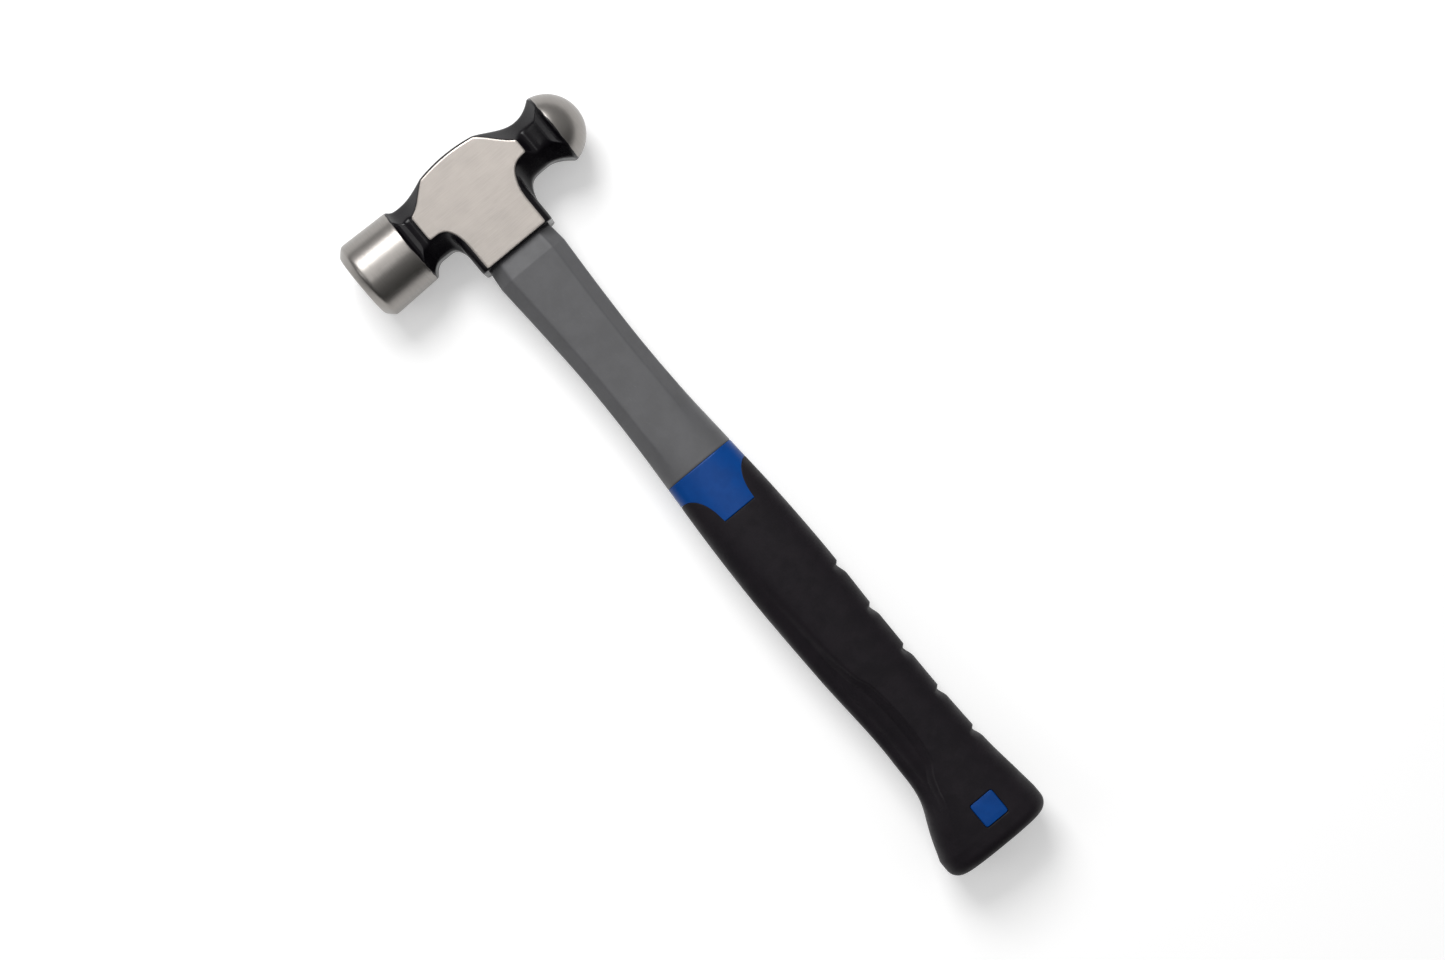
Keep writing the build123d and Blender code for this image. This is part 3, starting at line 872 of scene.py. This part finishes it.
def makePlastic(name, colours, roughness, grains, depth, marks, shine=0.4):
    # moulded plastic: a fine grain, a slight drift of colour and, if marks is above zero, hairlines
    material, tree, shader = newMaterial(name, 0.0, roughness[0], shine)
    place = millimetres(tree)
    grain = useGroup(tree, mouldGrain, {"Place": place, "Grains per mm": grains, "Waves": 0.3})
    colour = blendColour(tree, between(tree, grain["Shade"], 0.35, 0.65), *colours)
    if marks:
        hairs = {"Place": place, "Stretch": (1.1, 0.06, 1.1), "Amount": marks}
        pale = tuple(min(1.0, value * 1.6 + 0.02) for value in colours[0][:3]) + (1,)
        colour = blendColour(tree, useGroup(tree, hairMarks, hairs)["Mask"], colour, pale)
    tree.links.new(colour, shader.inputs["Base Color"])
    tree.links.new(between(tree, grain["Shade"], 0.3, 0.7, *roughness), shader.inputs["Roughness"])
    bumpInto(tree, shader, grain["Height"], 0.35, depth)
    return material


def makeRubber():
    # soft grip: finely stippled, with paler patches in a strip along the ball's side edge, where the notches
    # are
    material, tree, shader = newMaterial("gripRubber", 0.0, 0.55, 0.16)
    place = millimetres(tree, (axisX, headY, axisZ))
    parts = addNode(tree, "ShaderNodeSeparateXYZ", {0: place}).outputs
    grain = useGroup(tree, mouldGrain, {"Place": place, "Grains per mm": 2.6, "Waves": 0.2})
    colour = blendColour(tree, between(tree, grain["Shade"], 0.35, 0.65), *plasticFinish["rubber"])
    # paler noise patches, only in a strip along the ball's side edge of the grip, 14.5 to 17.5 mm out from
    # the centre line
    palePatches = between(tree, noise(tree, place, 0.9, 6.0, 0.75), 0.55, 0.75, 0.0, 0.22)
    paleEdge = calculate(tree, "MULTIPLY", palePatches, between(tree, parts[0], 14.5, 17.5))
    colour = blendColour(tree, paleEdge, colour, plasticFinish["rubberPale"])
    tree.links.new(colour, shader.inputs["Base Color"])
    tree.links.new(between(tree, grain["Shade"], 0.3, 0.7, 0.50, 0.62), shader.inputs["Roughness"])
    stipple = addNode(tree, "ShaderNodeTexVoronoi", {"Vector": place, "Scale": 1.5}).outputs["Distance"]
    bumpInto(tree, shader, calculate(tree, "MULTIPLY_ADD", stipple, 0.5, grain["Height"]), 0.3, 0.0001)
    return material


rodFinish = {"strands": ((0.46, 0.38, 0.22, 1), (0.66, 0.58, 0.40, 1))}


def makeFibreglass():
    # drawn glass rod: strands run along it and show as dots on its cut end
    material, tree, shader = newMaterial("fibreglassRod", 0.0, 0.45, 0.5, 0.2)
    place = stretched(tree, millimetres(tree), (4.0, 0.05, 4.0))
    strands = noise(tree, place, 1.0, 5.0, 0.7)
    colour = blendColour(tree, between(tree, strands, 0.35, 0.65), *rodFinish["strands"])
    tree.links.new(colour, shader.inputs["Base Color"])
    bumpInto(tree, shader, strands, 0.3, 0.0001)
    return material


resinFinish = {
    "fill": ((0.055, 0.045, 0.030, 1), (0.085, 0.070, 0.045, 1)),
    "bubbles": (0.16, 0.14, 0.10, 1),
}


def makeResin():
    # cast resin: a dark amber fill, cloudy, with a few trapped bubbles
    material, tree, shader = newMaterial("castResin", 0.0, 0.18, 0.5, 0.5)
    place = millimetres(tree)
    cloud = noise(tree, place, 0.35, 4.0)
    bubbles = addNode(tree, "ShaderNodeTexVoronoi", {"Vector": place, "Scale": 0.8}).outputs["Distance"]
    colour = blendColour(tree, between(tree, cloud, 0.35, 0.65), *resinFinish["fill"])
    colour = blendColour(tree, between(tree, bubbles, 0.16, 0.08, 0.0, 0.5), colour, resinFinish["bubbles"])
    tree.links.new(colour, shader.inputs["Base Color"])
    bumpInto(tree, shader, calculate(tree, "ADD", cloud, between(tree, bubbles, 0.08, 0.2)), 0.3, 0.0002)
    return material


dress(head, makeHeadFinish())
dress(jacket, makePlastic("jacketPlastic", plasticFinish["jacket"], (0.40, 0.50), 2.2, 0.00005, 0.35))
dress(sleeve, makePlastic("sleevePlastic", plasticFinish["sleeve"], (0.32, 0.42), 1.6, 0.00004, 0.3, 0.16))
dress(overmould, makeRubber())
dress(nodes["handle_core"], makeFibreglass())
dress(nodes["resin_bond"], makeResin())
gasketFinish = makePlastic("gasketRubber", plasticFinish["gasket"], (0.6, 0.75), 3.0, 0.00005, 0.0)
dress(nodes["eye_gasket"], gasketFinish)
print("finishes made")


viewSetup = {
    "height": 1.0,              # camera above the hammer's middle plane
    "frameWidth": 0.5499,       # what the long side of the picture takes in at that plane
    "turn": -39.6,              # degrees; the handle runs down to the right
    "over": (0.0055, 0.0061),   # the place it looks straight down on
}

lightSetup = {
    # name: place, aim, width and height, power
    "overheadLamp": ((0.0, 0.20, 1.7), (0, 0.20, 0), (0.32, 1.0), 2.25),
    "keyLamp": ((0.25, 1.1, 1.25), (0, 0, 0), (0.8, 0.8), 20.0),
    "fillLamp": ((-1.0, 0.6, 0.9), (0, 0, 0), (0.5, 0.8), 2.0),
    "skyLevel": 0.42,
    "skyFrom": (0.36, 0.48, 0.80),  # where the sky is brightest
    "skyFarSide": 0.12,         # share of the level away from there
    "floorGlow": 0.35,
}


def makeCamera():
    lens = bpy.data.cameras.new("camera")
    lens.sensor_width = 36.0
    lens.lens = 36.0 * viewSetup["height"] / viewSetup["frameWidth"]
    camera = bpy.data.objects.new("camera", lens)
    camera.location = (*viewSetup["over"], axisZ + viewSetup["height"])
    camera.rotation_euler = (0, 0, math.radians(viewSetup["turn"]))
    bpy.context.scene.collection.objects.link(camera)
    bpy.context.scene.camera = camera


def makeLamp(name, place, target, size, power):
    lamp = bpy.data.lights.new(name, "AREA")
    lamp.shape = "RECTANGLE"
    lamp.size, lamp.size_y = size
    lamp.energy = power
    holder = bpy.data.objects.new(name, lamp)
    holder.location = place
    holder.rotation_euler = (Vector(target) - Vector(place)).to_track_quat("-Z", "Y").to_euler()
    bpy.context.scene.collection.objects.link(holder)


def makeWorld():
    # plain soft light from all round, strongest from above on the crown's and the ball's side
    world = bpy.data.worlds.new("studio")
    world.use_nodes = True
    tree = world.node_tree
    towards = addNode(tree, "ShaderNodeTexCoord").outputs["Generated"]
    both = {0: towards, 1: lightSetup["skyFrom"]}
    facing = addNode(tree, "ShaderNodeVectorMath", both, operation="DOT_PRODUCT").outputs["Value"]
    level = between(tree, facing, -0.3, 0.95, lightSetup["skyFarSide"], 1.0)
    background = tree.nodes["Background"]
    tree.links.new(blendColour(tree, level, (0, 0, 0, 1), (1, 1, 1, 1)), background.inputs["Color"])
    background.inputs["Strength"].default_value = lightSetup["skyLevel"]
    bpy.context.scene.world = world


def makeFloor():
    # pale floor that keeps the hammer's shadow; the glow shows to the camera and in reflections only
    side = 4.0
    mesh = bpy.data.meshes.new("floor")
    corners = [(-side, -side), (side, -side), (side, side), (-side, side)]
    mesh.from_pydata([(x, y, -0.0002) for x, y in corners], [], [(0, 1, 2, 3)])
    floor = linkMesh("floor", mesh)
    material, tree, shader = newMaterial("paleFloor", 0.0, 0.9)
    shader.inputs["Base Color"].default_value = (0.82, 0.82, 0.82, 1)
    path = addNode(tree, "ShaderNodeLightPath").outputs
    seen = calculate(tree, "ADD", path["Is Camera Ray"], path["Is Glossy Ray"])
    seen = calculate(tree, "ADD", seen, path["Is Transmission Ray"])
    tree.links.new(blendColour(tree, seen, (0, 0, 0, 1), (1, 1, 1, 1)), shader.inputs["Emission Color"])
    shader.inputs["Emission Strength"].default_value = lightSetup["floorGlow"]
    floor.data.materials.append(material)


makeCamera()
makeWorld()
makeFloor()
for name in ("overheadLamp", "keyLamp", "fillLamp"):
    makeLamp(name, *lightSetup[name])
bpy.context.scene.view_settings.view_transform = "Standard"
print("camera, floor and lamps made")
